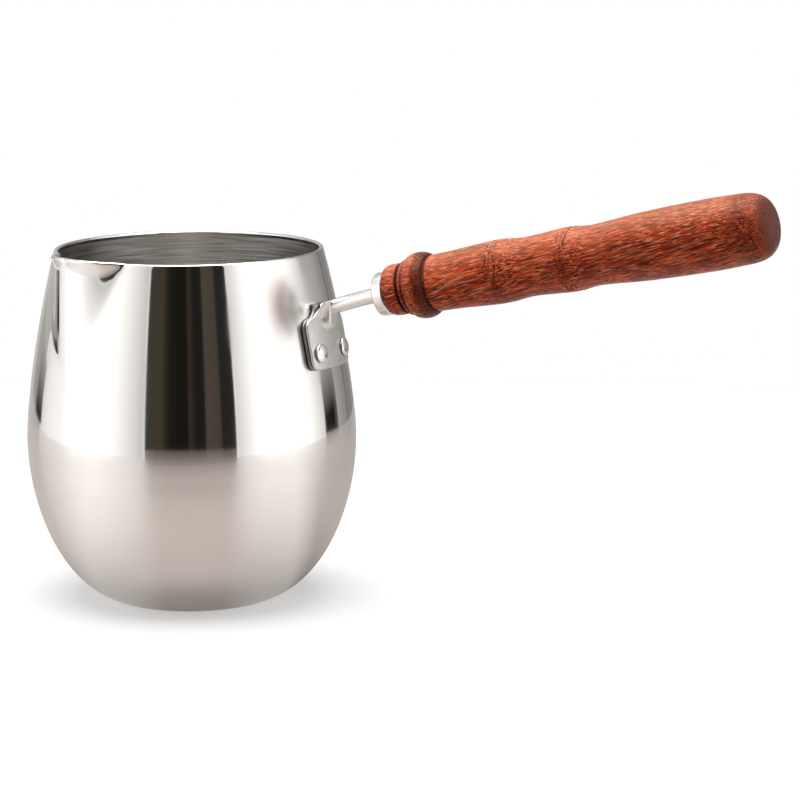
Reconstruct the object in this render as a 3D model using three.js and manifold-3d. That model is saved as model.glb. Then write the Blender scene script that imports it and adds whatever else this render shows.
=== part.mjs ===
// Turkish coffee pot: a thin-walled steel pot with a pressed pouring spout, and a turned wooden handle
// on a bent steel rod that two riveted plates hold to the wall.
// Millimetres, +Z up. The origin is the centre of the base, and the handle points along +X.
import * as THREE from "three";
import { mergeVertices } from "three/addons/utils/BufferGeometryUtils.js";
import Module from "manifold-3d";

const wasm = await Module();
wasm.setup();

const degrees = THREE.MathUtils.degToRad;

// Pot
const potHeight = 96.7;
const bellyRadius = 45.3;
const bellyHeight = 44.7; // height of the widest ring
const baseRadius = 23; // flat that the pot stands on
const rimRadius = 36.6; // outside of the wall at the rim
const wall = 1.2;
const baseSpread = degrees(19.5); // angle at which the side leaves the base
const baseSweep = 15.2; // reach of that direction
const bellySweepDown = 18.6; // reach of the upright direction below the widest ring
const bellySweepUp = 9;
const neckLean = degrees(14.3); // how far the neck leans in at the rim
const neckSweep = 22;
const potColumns = 80; // facets around the pot
const columnCrowding = 0.45; // columns draw together toward the spout
const lowerRings = 10;
const upperRings = 11;
const rimCrowding = 1.5; // rings draw together toward the rim
const lowerCrowding = 0.9; // rings draw together toward the base

// Spout
const spoutAzimuth = degrees(-111); // from the handle
const spoutHeight = 27.7; // from the foot of the press to the rim
const spoutHalfAngle = degrees(22.8); // half width at the rim
const spoutReach = 6.8; // push of the ridge at the rim
const spoutLipFlare = 1.5; // extra push of the turned-out lip
const spoutLipHeight = 4; // height of the turned-out lip
const spoutLift = 0.8; // rise of the tip above the rim
const spoutTaper = 0.55; // how the width grows from the foot
const spoutRound = 1.6; // how full the section is
const spoutGrowth = 1.15; // how the push grows from the foot

// Bracket
const seat = 0.3; // gap between pieces that lie on each other
const backPlate = 0.7;
const frontPlate = 0.9;
const plateWidth = 19.8;
const plateDrop = 13.1; // top of the plates below the rim
const plateHeight = 17.2;
const plateHump = 3.7; // rise of the middle above the shoulders
const plateHumpWidth = 7.4; // flat on top of the raised middle
const plateCorner = 3;
const plateSlope = 0.4; // rise of the shoulders toward the middle
const plateThroat = 0.8; // round between shoulder and raised middle
const cradleRadius = 3.1; // pressed half-round that takes the rod's root
const cradleStand = 1.6; // how far it stands off the plate
const cradleLength = 7.4; // from the top of the plate to its round lower end

// Rivets
const rivetInset = 3.45; // from the side of the plate
const rivetRise = 4.3; // above the bottom of the plate
const rivetShank = 3;
const rivetHead = 5;
const rivetHeadHeight = 1;
const rivetTail = 4.6;
const rivetTailHeight = 0.9;
const rivetClearance = 0.3; // around the shank

// Handle, measured along the axis of the rod from the face of the ferrule
const handleGap = 18.6; // from the wall out to the face of the ferrule
const handleLift = 5.45; // from the rod's root up to the middle of that face
const handleRise = degrees(12.2);
const rodDiameter = 4;
const rodDrop = 2; // rod's root below the top of the plate
const rodBend = 5.5; // distance from the ferrule to the corner that the bend rounds
const rodBendEnd = 1; // distance from the ferrule to the end of the bend
const rodDepth = 30; // length of the rod beyond the face of the ferrule
const rodClearance = 0.3;
const ferruleRadius = 5.8;
const ferruleThickness = 3;
const ferruleEdge = 0.5; // round on the front edge
const ferruleSpigot = 3.2; // length of the collar inside the wood
const insertRadius = 4.1;
const insertLength = 18;
const insertGroove = 0.45; // depth of the three grooves that grip the wood
const insertGrooveWidth = 1.6;
const boreClearance = 0.3;
const boreEnd = 4; // drilled length beyond the rod
const boreTip = 1.5; // cone at the end of the bore
const boreDrop = 0.5; // middle of the bore below the middle of the wood

// Turned outline of the wood, as distances from its front and radii
const woodLength = 109.1;
const woodFront = 6.45;
const woodEdge = 0.3; // break of the front edge
const collarLength = 4.5;
const collarRadius = 6.9;
const grooveWidth = 0.6;
const grooveRadius = 6.2;
const grooveSide = 0.1; // slope of a groove's side
const ringLength = 1.6; // narrow ring in front of the bead
const ringRadius = 7.3;
const ringFullness = 1.06;
const notchRadius = 6.9; // between ring and bead
const beadLength = 6.2;
const beadRadius = 8.6;
const beadFront = 1.11; // fullness of the bead's front and back
const beadBack = 1.07;
const neckWidth = 0.8;
const neckRadius = 7.25;
const gripStart = 7.5; // radius where the grip begins
const gripSwellings = [ // share of the length, and radius
  [0.185, 7.7], [0.302, 8.35], [0.379, 7.75], [0.489, 8.4], [0.553, 7.85], [0.681, 8.75], [0.836, 9.15],
];
const domeLength = 9;
const domeRadius = 8.95;
const domeFullness = 0.76;

// Facets of the round pieces
const rivetSides = 20;
const rodSides = 16;
const rodSteps = 22;
const turnedSides = 32;

// Steel and wood
const finish = (color, roughness, metalness) =>
  new THREE.MeshStandardMaterial({ color, roughness, metalness });
const polishedSteel = finish(0xcdcac6, 0.12, 1);
const satinSteel = finish(0xb5b3b0, 0.32, 1);
const brightSteel = finish(0xd6d5d2, 0.22, 1);
const brass = finish(0xb08d4a, 0.35, 1);
const redWood = finish(0x8a4226, 0.5, 0);

// Outline of the outside of the wall, from the edge of the base to just under the lip
const lipCentre = potHeight - wall / 2;
const lowerSide = new THREE.CubicBezierCurve(
  new THREE.Vector2(baseRadius, 0),
  new THREE.Vector2(baseRadius + baseSweep * Math.cos(baseSpread), baseSweep * Math.sin(baseSpread)),
  new THREE.Vector2(bellyRadius, bellyHeight - bellySweepDown),
  new THREE.Vector2(bellyRadius, bellyHeight),
);
const upperSide = new THREE.CubicBezierCurve(
  new THREE.Vector2(bellyRadius, bellyHeight),
  new THREE.Vector2(bellyRadius, bellyHeight + bellySweepUp),
  new THREE.Vector2(rimRadius + neckSweep * Math.sin(neckLean), lipCentre - neckSweep * Math.cos(neckLean)),
  new THREE.Vector2(rimRadius, lipCentre),
);

// Points of a side curve moved outward by a distance along its normal
const lower = { curve: lowerSide, steps: lowerRings, crowding: lowerCrowding };
const upper = { curve: upperSide, steps: upperRings, crowding: rimCrowding };
function offsetPoints({ curve, steps, crowding }, distance) {
  return Array.from({ length: steps + 1 }, (_, i) => {
    const share = 1 - (1 - i / steps) ** crowding;
    const tangent = curve.getTangent(share);
    return curve.getPoint(share).add(new THREE.Vector2(tangent.y, -tangent.x).multiplyScalar(distance));
  });
}

// Place on the outside of the wall at a height: radius, and the outward lean of its normal above level
function wallAt(height) {
  let low = 0;
  let high = 1;
  for (let i = 0; i < 40; i++) {
    const middle = (low + high) / 2;
    if (upperSide.getPoint(middle).y < height) low = middle;
    else high = middle;
  }
  const tangent = upperSide.getTangent(low);
  return { radius: upperSide.getPoint(low).x, lean: Math.atan2(-tangent.x, tangent.y) };
}

// Solid of a closed geometry, with its faces pointing out
function solidOf(geometry) {
  const bare = new THREE.BufferGeometry();
  bare.setAttribute("position", geometry.getAttribute("position"));
  if (geometry.index) bare.setIndex(geometry.index);
  const merged = mergeVertices(bare, 1e-4);
  const positions = merged.getAttribute("position");
  const triangles = [];
  let volume = 0;
  const [a, b, c] = [new THREE.Vector3(), new THREE.Vector3(), new THREE.Vector3()];
  for (let i = 0; i < merged.index.count; i += 3) {
    const [p, q, r] = [0, 1, 2].map((k) => merged.index.getX(i + k));
    if (p === q || q === r || r === p) continue;
    triangles.push([p, q, r]);
    volume += a.fromBufferAttribute(positions, p).dot(
      b.fromBufferAttribute(positions, q).cross(c.fromBufferAttribute(positions, r)),
    );
  }
  if (volume < 0) triangles.forEach((triangle) => triangle.reverse());
  return new wasm.Manifold(new wasm.Mesh({
    numProp: 3,
    vertProperties: Float32Array.from(positions.array),
    triVerts: Uint32Array.from(triangles.flat()),
  }));
}

function geometryOf(solid) {
  const mesh = solid.getMesh();
  const geometry = new THREE.BufferGeometry();
  geometry.setAttribute("position", new THREE.BufferAttribute(mesh.vertProperties, 3));
  geometry.setIndex(new THREE.BufferAttribute(mesh.triVerts, 1));
  geometry.computeVertexNormals();
  return geometry;
}

// Turned shape around Z from points of radius and height
function turned(points, columns) {
  const outline = points.map(([radius, height]) => new THREE.Vector2(radius, height));
  return new THREE.LatheGeometry(outline, columns).rotateX(Math.PI / 2);
}

// Turned shape with the pot's own columns, so that the facets of pot and plates lie in line
function turnedLikePot(points) {
  const geometry = turned(points.map((p) => [p.x, p.y]), potColumns);
  const positions = geometry.getAttribute("position");
  for (let i = 0; i < positions.count; i++) {
    const radius = Math.hypot(positions.getX(i), positions.getY(i));
    const offset = Math.atan2(positions.getY(i), positions.getX(i)) - spoutAzimuth;
    const angle = spoutAzimuth + offset - columnCrowding * Math.sin(offset);
    positions.setXY(i, radius * Math.cos(angle), radius * Math.sin(angle));
  }
  return geometry;
}

// Spout: the wall pushed out in a rounded wedge that narrows to its foot, with a turned-out lip
function pressSpout(geometry) {
  const positions = geometry.getAttribute("position");
  for (let i = 0; i < positions.count; i++) {
    const [x, y, z] = [positions.getX(i), positions.getY(i), positions.getZ(i)];
    const rise = Math.min(1 - (potHeight - z) / spoutHeight, 1);
    if (rise <= 0) continue;
    const turn = Math.atan2(y, x) - spoutAzimuth;
    const offset = Math.abs(Math.atan2(Math.sin(turn), Math.cos(turn)));
    const across = offset / (spoutHalfAngle * rise ** spoutTaper);
    if (across >= 1) continue;
    const share = (1 - across ** spoutRound) ** spoutRound;
    const lip = Math.max(0, 1 - (potHeight - z) / spoutLipHeight);
    const push = spoutReach * rise ** spoutGrowth * share + spoutLipFlare * lip ** 2 * (1 - across ** 4);
    const radius = Math.hypot(x, y);
    const scale = (radius + push) / radius;
    positions.setXYZ(i, x * scale, y * scale, z + spoutLift * share * lip);
  }
  return geometry;
}

// Band around the pot between two distances off the wall
function wallBand(inside, outside) {
  const near = offsetPoints(upper, inside);
  const far = offsetPoints(upper, outside);
  return solidOf(turnedLikePot([...near, ...far.reverse(), near[0]]));
}

// Pot body
const sidePoints = (distance) =>
  [lower, upper].flatMap((side, i) => offsetPoints(side, distance).slice(i));
const outside = sidePoints(0);
const inside = sidePoints(-wall).filter((p) => p.y > wall);
const lip = [45, 90, 135].map((angle) => {
  const [outer, inner] = [outside.at(-1), inside.at(-1)];
  const across = outer.clone().sub(inner).multiplyScalar(0.5);
  const along = new THREE.Vector2(-across.y, across.x);
  return outer.clone().add(inner).multiplyScalar(0.5)
    .addScaledVector(across, Math.cos(degrees(angle))).addScaledVector(along, Math.sin(degrees(angle)));
});
const floorRadius = inside[0].x - (inside[0].y - wall) / Math.tan(baseSpread);
const potShell = solidOf(pressSpout(turnedLikePot([
  new THREE.Vector2(0, 0), ...outside, ...lip, ...inside.reverse(),
  new THREE.Vector2(floorRadius, wall), new THREE.Vector2(0, wall),
])));

// Heights on the bracket
const plateTop = potHeight - plateDrop;
const plateBottom = plateTop - plateHeight;
const plateShoulder = plateTop - plateHump;
const cradleFoot = plateTop - cradleLength;
const rivetHeight = plateBottom + rivetRise;
const rodRootHeight = plateTop - rodDrop;

// Rivets, each through both plates and the wall, square to the wall
const rivetWall = wallAt(rivetHeight);
const headFace = seat + backPlate + seat + frontPlate + seat; // height of the head's underside off the wall
const tailFace = -wall - seat;
const rivetProfile = [
  [0, tailFace - rivetTailHeight],
  [rivetTail * 0.3, tailFace - rivetTailHeight * 0.85],
  [rivetTail / 2, tailFace - rivetTailHeight * 0.2],
  [rivetTail / 2, tailFace],
  [rivetShank / 2, tailFace],
  [rivetShank / 2, headFace],
  [rivetHead / 2, headFace],
  [rivetHead / 2, headFace + rivetHeadHeight * 0.25],
  [rivetHead * 0.4, headFace + rivetHeadHeight * 0.65],
  [rivetHead * 0.22, headFace + rivetHeadHeight * 0.93],
  [0, headFace + rivetHeadHeight],
];
const rivetShape = turned(rivetProfile, rivetSides);
const drillLength = 20;
const drill = (radius) => new THREE.CylinderGeometry(radius, radius, drillLength, rivetSides);
const rivetHole = drill(rivetShank / 2 + rivetClearance).rotateX(Math.PI / 2);

function placeOnWall(object, azimuth) {
  object.position.set(
    rivetWall.radius * Math.cos(azimuth), rivetWall.radius * Math.sin(azimuth), rivetHeight,
  );
  object.rotation.set(0, Math.PI / 2 - rivetWall.lean, azimuth, "ZYX");
  object.updateMatrix();
  return object;
}

const rivetAzimuth = Math.asin((plateWidth / 2 - rivetInset) / (rivetWall.radius + headFace));
const rivetPlaces = { rivet_left: -rivetAzimuth, rivet_right: rivetAzimuth };
const rivetHoles = Object.values(rivetPlaces).map((azimuth) =>
  solidOf(rivetHole.clone().applyMatrix4(placeOnWall(new THREE.Object3D(), azimuth).matrix)));
const drilled = (solid) => rivetHoles.reduce((rest, hole) => rest.subtract(hole), solid);

// Handle axis, and the rod along it: from the bracket, round a shallow bend, into the wood
const rootWall = wallAt(rodRootHeight);
const rootGap = seat + backPlate + 2 * seat;
const rodRoot = new THREE.Vector3(
  rootWall.radius + rootGap * Math.cos(rootWall.lean), 0, rodRootHeight + rootGap * Math.sin(rootWall.lean),
);
const handleStart = new THREE.Vector3(rootWall.radius + handleGap, 0, rodRootHeight + handleLift);
const handleAxis = new THREE.Vector3(Math.cos(handleRise), 0, Math.sin(handleRise));
const alongHandle = (distance) => handleStart.clone().addScaledVector(handleAxis, distance);
const rodCorner = alongHandle(-rodBend);
const rodPath = new THREE.CurvePath();
rodPath.add(new THREE.QuadraticBezierCurve3(rodRoot, rodCorner, alongHandle(-rodBendEnd)));
rodPath.add(new THREE.LineCurve3(alongHandle(-rodBendEnd), alongHandle(rodDepth)));

function tubeAlong(path, radius, sides, steps) {
  const section = new THREE.Shape();
  for (let i = 0; i < sides; i++) {
    const angle = (2 * Math.PI * i) / sides;
    section[i ? "lineTo" : "moveTo"](radius * Math.cos(angle), radius * Math.sin(angle));
  }
  return new THREE.ExtrudeGeometry(section, { extrudePath: path, steps });
}
const rodShape = tubeAlong(rodPath, rodDiameter / 2, rodSides, rodSteps);

// Plates: the outline of the bracket cut from a band that follows the wall
function plateOutline() {
  const half = plateWidth / 2;
  const top = plateHumpWidth / 2;
  const shape = new THREE.Shape();
  shape.moveTo(-half + plateCorner, plateBottom);
  shape.lineTo(half - plateCorner, plateBottom);
  shape.quadraticCurveTo(half, plateBottom, half, plateBottom + plateCorner);
  shape.lineTo(half, plateShoulder - plateCorner);
  shape.quadraticCurveTo(half, plateShoulder, half - plateCorner, plateShoulder + plateSlope);
  shape.quadraticCurveTo(top + plateThroat, plateShoulder + plateThroat, top, plateTop);
  shape.lineTo(-top, plateTop);
  shape.quadraticCurveTo(
    -top - plateThroat, plateShoulder + plateThroat, -half + plateCorner, plateShoulder + plateSlope,
  );
  shape.quadraticCurveTo(-half, plateShoulder, -half, plateShoulder - plateCorner);
  shape.lineTo(-half, plateBottom + plateCorner);
  shape.quadraticCurveTo(-half, plateBottom, -half + plateCorner, plateBottom);
  return shape;
}
// Outline drawn across Y and up Z, pushed out along X
const facingX = new THREE.Matrix4().makeBasis(
  new THREE.Vector3(0, 1, 0), new THREE.Vector3(0, 0, 1), new THREE.Vector3(1, 0, 0),
);
const plateBlank = solidOf(
  new THREE.ExtrudeGeometry(plateOutline(), {
    depth: 2 * bellyRadius, bevelEnabled: false, curveSegments: 6,
  }).applyMatrix4(facingX),
);
const backBand = [seat, seat + backPlate];
const frontBand = [backBand[1] + seat, backBand[1] + seat + frontPlate];
const backPlateSolid = drilled(wallBand(...backBand).intersect(plateBlank));

// Cradle: a half-round with a round lower end, pressed out of the front plate and open on top for the rod
const rodStart = rodPath.getTangent(0);
const rodHoleRadius = rodDiameter / 2 + rodClearance;
const rodHole = solidOf(
  drill(rodHoleRadius)
    .applyQuaternion(new THREE.Quaternion().setFromUnitVectors(new THREE.Vector3(0, 1, 0), rodStart))
    .translate(...rodRoot.toArray()),
);
const cradleWall = wallAt(cradleFoot);
const cradleDepth = frontBand[1] + cradleStand - cradleRadius;
const cradleRib = solidOf(
  new THREE.CapsuleGeometry(cradleRadius, 2 * cradleLength, 6, 24)
    .translate(0, cradleLength + cradleRadius, 0)
    .rotateX(Math.PI / 2)
    .rotateY(-cradleWall.lean)
    .translate(
      cradleWall.radius + cradleDepth * Math.cos(cradleWall.lean),
      0,
      cradleFoot + cradleDepth * Math.sin(cradleWall.lean),
    ),
);
const frontPlateSolid = drilled(
  wallBand(...frontBand)
    .add(wallBand(frontBand[0], frontBand[1] + 2 * cradleRadius).intersect(cradleRib))
    .intersect(plateBlank)
    .subtract(rodHole),
);

// Ferrule, with a collar that centres it in the wood
const spigotEnd = ferruleThickness + ferruleSpigot;
const roundStep = 1 - Math.SQRT1_2; // middle of a quarter round, as a share of its radius
const ferruleProfile = [
  [rodHoleRadius, 0],
  [ferruleRadius - ferruleEdge, 0],
  [ferruleRadius - ferruleEdge * roundStep, ferruleEdge * roundStep],
  [ferruleRadius, ferruleEdge],
  [ferruleRadius, ferruleThickness],
  [insertRadius, ferruleThickness],
  [insertRadius, spigotEnd],
  [rodHoleRadius, spigotEnd],
  [rodHoleRadius, 0],
];

// Insert that the rod screws into, with grooves around it
const insertStart = spigotEnd + seat;
const insertEnd = insertStart + insertLength;
const grooves = [0.25, 0.5, 0.75].flatMap((share) => {
  const middle = insertStart + insertLength * share;
  const half = insertGrooveWidth / 2;
  return [
    [insertRadius, middle - half - insertGroove],
    [insertRadius - insertGroove, middle - half],
    [insertRadius - insertGroove, middle + half],
    [insertRadius, middle + half + insertGroove],
  ];
});
const insertProfile = [
  [rodHoleRadius, insertStart],
  [insertRadius, insertStart],
  ...grooves,
  [insertRadius, insertEnd],
  [rodHoleRadius, insertEnd],
  [rodHoleRadius, insertStart],
];

// Wood: a collar, a ring, a bead, a grip with two swellings and a domed end, and a bore from the front
const woodStart = ferruleThickness + seat;
const boreRadius = insertRadius + boreClearance;
const boreDepth = Math.max(insertEnd, rodDepth) + boreEnd - woodStart;
const ringStart = collarLength + grooveWidth;
const beadStart = ringStart + ringLength;
const beadEnd = beadStart + beadLength;
const neckEnd = beadEnd + neckWidth;
const domeStart = woodLength - domeLength;
const at = (radius, distance) => new THREE.Vector2(radius, woodStart + distance);
const collar = new THREE.QuadraticBezierCurve(
  at(woodFront, woodEdge),
  at(collarRadius, collarLength / 4),
  at(collarRadius, collarLength),
);
const bead = new THREE.CubicBezierCurve(
  at(notchRadius, beadStart),
  at(beadRadius * beadFront, beadStart),
  at(beadRadius * beadBack, beadEnd),
  at(neckRadius, beadEnd),
);
const grip = new THREE.SplineCurve([
  at(gripStart, neckEnd),
  ...gripSwellings.map(([share, radius]) => at(radius, share * woodLength)),
  at(domeRadius, domeStart),
]);
const dome = new THREE.CubicBezierCurve(
  at(domeRadius, domeStart),
  at(domeRadius, domeStart + domeLength * domeFullness),
  at(domeRadius * domeFullness, woodLength),
  at(0, woodLength),
);
const ring = new THREE.CubicBezierCurve(
  at(grooveRadius, ringStart),
  at(ringRadius * ringFullness, ringStart),
  at(ringRadius * ringFullness, beadStart),
  at(notchRadius, beadStart),
);
const woodProfile = [
  at(0, 0),
  at(woodFront - woodEdge, 0),
  ...collar.getPoints(4),
  at(grooveRadius, collarLength + grooveSide),
  ...ring.getPoints(4).slice(0, -1),
  ...bead.getPoints(9),
  at(neckRadius, neckEnd - grooveSide),
  ...grip.getPoints(22),
  ...dome.getPoints(6).slice(1),
].map((point) => point.toArray());
const boreProfile = [
  at(0, boreDepth), at(boreRadius, boreDepth - boreTip), at(boreRadius, -seat), at(0, -seat),
].map((point) => point.toArray());
const woodSolid = solidOf(turned(woodProfile, turnedSides).translate(-boreDrop, 0, 0))
  .subtract(solidOf(turned(boreProfile, turnedSides)));

// Assembly
const pot = new THREE.Group();

function addPiece(parent, name, geometry, material) {
  const mesh = new THREE.Mesh(geometry, material);
  mesh.name = name;
  parent.add(mesh);
  return mesh;
}

addPiece(pot, "pot_body", geometryOf(drilled(potShell)), polishedSteel);
addPiece(pot, "bracket_back_plate", geometryOf(backPlateSolid), satinSteel);
addPiece(pot, "bracket_front_plate", geometryOf(frontPlateSolid), satinSteel);
for (const [name, azimuth] of Object.entries(rivetPlaces)) {
  placeOnWall(addPiece(pot, name, rivetShape, brightSteel), azimuth);
}
addPiece(pot, "handle_rod", rodShape, brightSteel);

const handle = new THREE.Group();
handle.position.copy(handleStart);
handle.rotation.y = Math.PI / 2 - handleRise;
addPiece(handle, "ferrule", turned(ferruleProfile, turnedSides), brightSteel);
addPiece(handle, "threaded_insert", turned(insertProfile, rodSides), brass);
addPiece(handle, "wood_handle", geometryOf(woodSolid), redWood);
pot.add(handle);

export default pot;
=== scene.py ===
import math

import bmesh
import bpy
from mathutils import Matrix, Vector, noise
from mathutils.geometry import interpolate_bezier


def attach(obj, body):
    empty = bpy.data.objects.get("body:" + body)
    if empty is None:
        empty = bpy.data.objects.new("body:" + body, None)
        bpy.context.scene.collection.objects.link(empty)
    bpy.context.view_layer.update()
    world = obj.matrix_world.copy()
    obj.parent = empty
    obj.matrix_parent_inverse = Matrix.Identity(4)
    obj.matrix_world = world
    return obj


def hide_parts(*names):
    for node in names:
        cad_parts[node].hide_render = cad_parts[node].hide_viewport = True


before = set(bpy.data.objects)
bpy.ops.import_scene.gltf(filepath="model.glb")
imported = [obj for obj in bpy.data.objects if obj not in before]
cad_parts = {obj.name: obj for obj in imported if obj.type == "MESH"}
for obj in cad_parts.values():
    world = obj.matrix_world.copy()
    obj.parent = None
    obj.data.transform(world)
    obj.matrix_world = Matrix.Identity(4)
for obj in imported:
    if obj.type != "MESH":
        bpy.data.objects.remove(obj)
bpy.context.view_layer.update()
mm = 0.001  # pieces are drawn in millimetres and scaled once
closeBy = 0.001  # points within this many millimetres count as one
print("frame loaded:", ", ".join(sorted(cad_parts)))


def linear(shade):  # sRGB hex to the linear colour that a socket takes
    parts = [int(shade[i:i + 2], 16) / 255 for i in (1, 3, 5)]
    return [c / 12.92 if c < 0.04045 else ((c + 0.055) / 1.055) ** 2.4 for c in parts] + [1]


def addNode(tree, kind, inputs=None, **settings):  # a node with its settings, values and links
    node = tree.nodes.new(kind)
    for name, value in settings.items():
        setattr(node, name, value)
    for socket, value in (inputs or {}).items():
        if isinstance(value, bpy.types.NodeSocket):
            tree.links.new(value, node.inputs[socket])
        else:
            node.inputs[socket].default_value = value
    return node


def setRamp(node, stops):  # colour stops of a ramp, as place and shade
    while len(node.color_ramp.elements) < len(stops):
        node.color_ramp.elements.new(0.5)
    for element, (place, shade) in zip(node.color_ramp.elements, stops):
        element.position = place
        element.color = linear(shade)
    return node


def startMaterial(name):
    material = bpy.data.materials.new(name)
    material.use_nodes = True
    material.node_tree.nodes.clear()
    return material, material.node_tree


def drawLine(shape, points):  # open line in the XZ plane, ready to spin
    verts = [shape.verts.new((radius, 0, height)) for radius, height in points]
    return verts + [shape.edges.new(pair) for pair in zip(verts, verts[1:])]


def turn(points, steps):  # full turn of an outline around Z
    shape = bmesh.new()
    line = drawLine(shape, points)
    bmesh.ops.spin(shape, geom=line, cent=(0, 0, 0), axis=(0, 0, 1), angle=math.tau, steps=steps,
                   use_merge=True)
    bmesh.ops.remove_doubles(shape, verts=shape.verts, dist=closeBy)
    bmesh.ops.recalc_face_normals(shape, faces=shape.faces)
    return shape


def bendLine(start, pullOut, pullIn, end, steps):  # one curved stretch of an outline
    return interpolate_bezier(Vector(start), Vector(pullOut), Vector(pullIn), Vector(end), steps)


def smoothLine(points, steps):  # curve through points, piece by piece
    line = []
    last = len(points) - 1
    for i in range(last):
        before, start, end, after = (Vector(points[min(max(k, 0), last)]) for k in range(i - 1, i + 3))
        line += bendLine(start, start + (end - before) / 6, end - (after - start) / 6, end, steps + 1)[:-1]
    return line + [Vector(points[last])]


def addPiece(shape, name, node, materials, sharp=40):  # bmesh in millimetres to a finished piece
    bmesh.ops.scale(shape, vec=(mm, mm, mm), verts=shape.verts)
    for face in shape.faces:
        face.smooth = True
    for edge in shape.edges:
        edge.smooth = edge.calc_face_angle(0) < math.radians(sharp)
    mesh = bpy.data.meshes.new(name)
    shape.to_mesh(mesh)
    shape.free()
    for material in materials:
        mesh.materials.append(material)
    piece = bpy.data.objects.new(name, mesh)
    bpy.context.scene.collection.objects.link(piece)
    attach(piece, "root")
    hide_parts(node)
    print("piece", name, len(mesh.polygons), "faces")


polishSizes = {  # heights where the finish around the belly starts and is full, and the patch by the bracket
    "satinTop": 47, "satinFull": 39, "patch": (38, -12, 80), "patchEdge": 24, "patchCore": 12,
}


# Stainless steel, drawn and mirror polished: sharp reflections above, smeared up and down on the lower belly
# by a finish that runs around it, and a satin patch beside the bracket, where the wheel does not reach
def polishedSteel():
    polish = polishSizes
    material, tree = startMaterial("stainless_mirror_polished")
    place = addNode(tree, "ShaderNodeTexCoord").outputs["Object"]
    cloudy = addNode(tree, "ShaderNodeTexNoise", {  # clouds of 17 mm
        "Vector": place, "Scale": 60, "Detail": 2}).outputs["Fac"]
    gloss = addNode(tree, "ShaderNodeMapRange", {
        "Value": cloudy, "From Min": 0.35, "From Max": 0.65, "To Min": 0.055, "To Max": 0.08}).outputs[0]
    height = addNode(tree, "ShaderNodeSeparateXYZ", {"Vector": place}).outputs["Z"]
    streaked = addNode(tree, "ShaderNodeMapRange", {
        "Value": height, "From Min": polish["satinTop"] * mm, "From Max": polish["satinFull"] * mm,
        "To Max": 0.86}).outputs[0]
    worn = addNode(tree, "ShaderNodeMath", {
        0: streaked, 1: 0.22, 2: gloss}, operation="MULTIPLY_ADD").outputs[0]
    fromBracket = addNode(tree, "ShaderNodeVectorMath", {
        0: place, 1: [c * mm for c in polish["patch"]]}, operation="DISTANCE").outputs["Value"]
    unreached = addNode(tree, "ShaderNodeMapRange", {
        "Value": fromBracket, "From Min": polish["patchEdge"] * mm, "From Max": polish["patchCore"] * mm,
        "To Max": 0.26}).outputs[0]
    rough = addNode(tree, "ShaderNodeMath", {0: worn, 1: unreached}, operation="MAXIMUM").outputs[0]
    around = addNode(tree, "ShaderNodeTangent", direction_type="RADIAL", axis="Z").outputs[0]
    shader = addNode(tree, "ShaderNodeBsdfPrincipled", {
        "Base Color": linear("#e1dfdd"), "Metallic": 1, "Roughness": rough,
        "Tangent": around, "Anisotropic": streaked, "Anisotropic Rotation": 0.25})
    addNode(tree, "ShaderNodeOutputMaterial", {"Surface": shader.outputs[0]})
    return material


# The same sheet inside, left brushed around: soft streaks that run with the wall
def brushedSteel():
    material, tree = startMaterial("stainless_brushed_around")
    place = addNode(tree, "ShaderNodeTexCoord").outputs["Object"]
    fine = addNode(tree, "ShaderNodeMapping", {"Vector": place, "Scale": (70, 70, 3200)}).outputs[0]  # 0.3 mm
    lines = addNode(tree, "ShaderNodeTexNoise", {"Vector": fine, "Scale": 1, "Detail": 4}).outputs["Fac"]
    rough = addNode(tree, "ShaderNodeMapRange", {
        "Value": lines, "From Min": 0.3, "From Max": 0.7, "To Min": 0.28, "To Max": 0.4}).outputs[0]
    shade = setRamp(addNode(tree, "ShaderNodeValToRGB", {"Fac": lines}), [(0.3, "#9f9a93"), (0.7, "#dcd9d5")])
    bump = addNode(tree, "ShaderNodeBump", {
        "Height": lines, "Strength": 0.2, "Distance": 0.03 * mm}).outputs[0]
    around = addNode(tree, "ShaderNodeTangent", direction_type="RADIAL", axis="Z").outputs[0]
    shader = addNode(tree, "ShaderNodeBsdfPrincipled", {
        "Base Color": shade.outputs[0], "Metallic": 1, "Roughness": rough, "Normal": bump, "Tangent": around,
        "Anisotropic": 1, "Anisotropic Rotation": 0.25})  # light spreads up and down, across the brush lines
    addNode(tree, "ShaderNodeOutputMaterial", {"Surface": shader.outputs[0]})
    return material


# Stainless strip, pressed and tumbled: satin grey with a fine upright grain and brighter worn patches
def satinSteel(name, dark, light):
    material, tree = startMaterial(name)
    place = addNode(tree, "ShaderNodeTexCoord").outputs["Object"]
    upright = addNode(tree, "ShaderNodeMapping", {  # grain of 0.5 by 6 mm
        "Vector": place, "Scale": (2200, 2200, 160)}).outputs[0]
    grain = addNode(tree, "ShaderNodeTexNoise", {"Vector": upright, "Scale": 1, "Detail": 3}).outputs["Fac"]
    worn = addNode(tree, "ShaderNodeTexNoise", {  # patches of 4.5 mm
        "Vector": place, "Scale": 220, "Detail": 3}).outputs["Fac"]
    rough = addNode(tree, "ShaderNodeMapRange", {
        "Value": worn, "From Min": 0.35, "From Max": 0.65, "To Min": 0.34, "To Max": 0.46}).outputs[0]
    shade = setRamp(addNode(tree, "ShaderNodeValToRGB", {"Fac": grain}), [(0.3, dark), (0.7, light)])
    bump = addNode(tree, "ShaderNodeBump", {
        "Height": grain, "Strength": 0.12, "Distance": 0.02 * mm}).outputs[0]
    shader = addNode(tree, "ShaderNodeBsdfPrincipled", {
        "Base Color": shade.outputs[0], "Metallic": 1, "Roughness": rough, "Normal": bump})
    addNode(tree, "ShaderNodeOutputMaterial", {"Surface": shader.outputs[0]})
    return material


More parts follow.
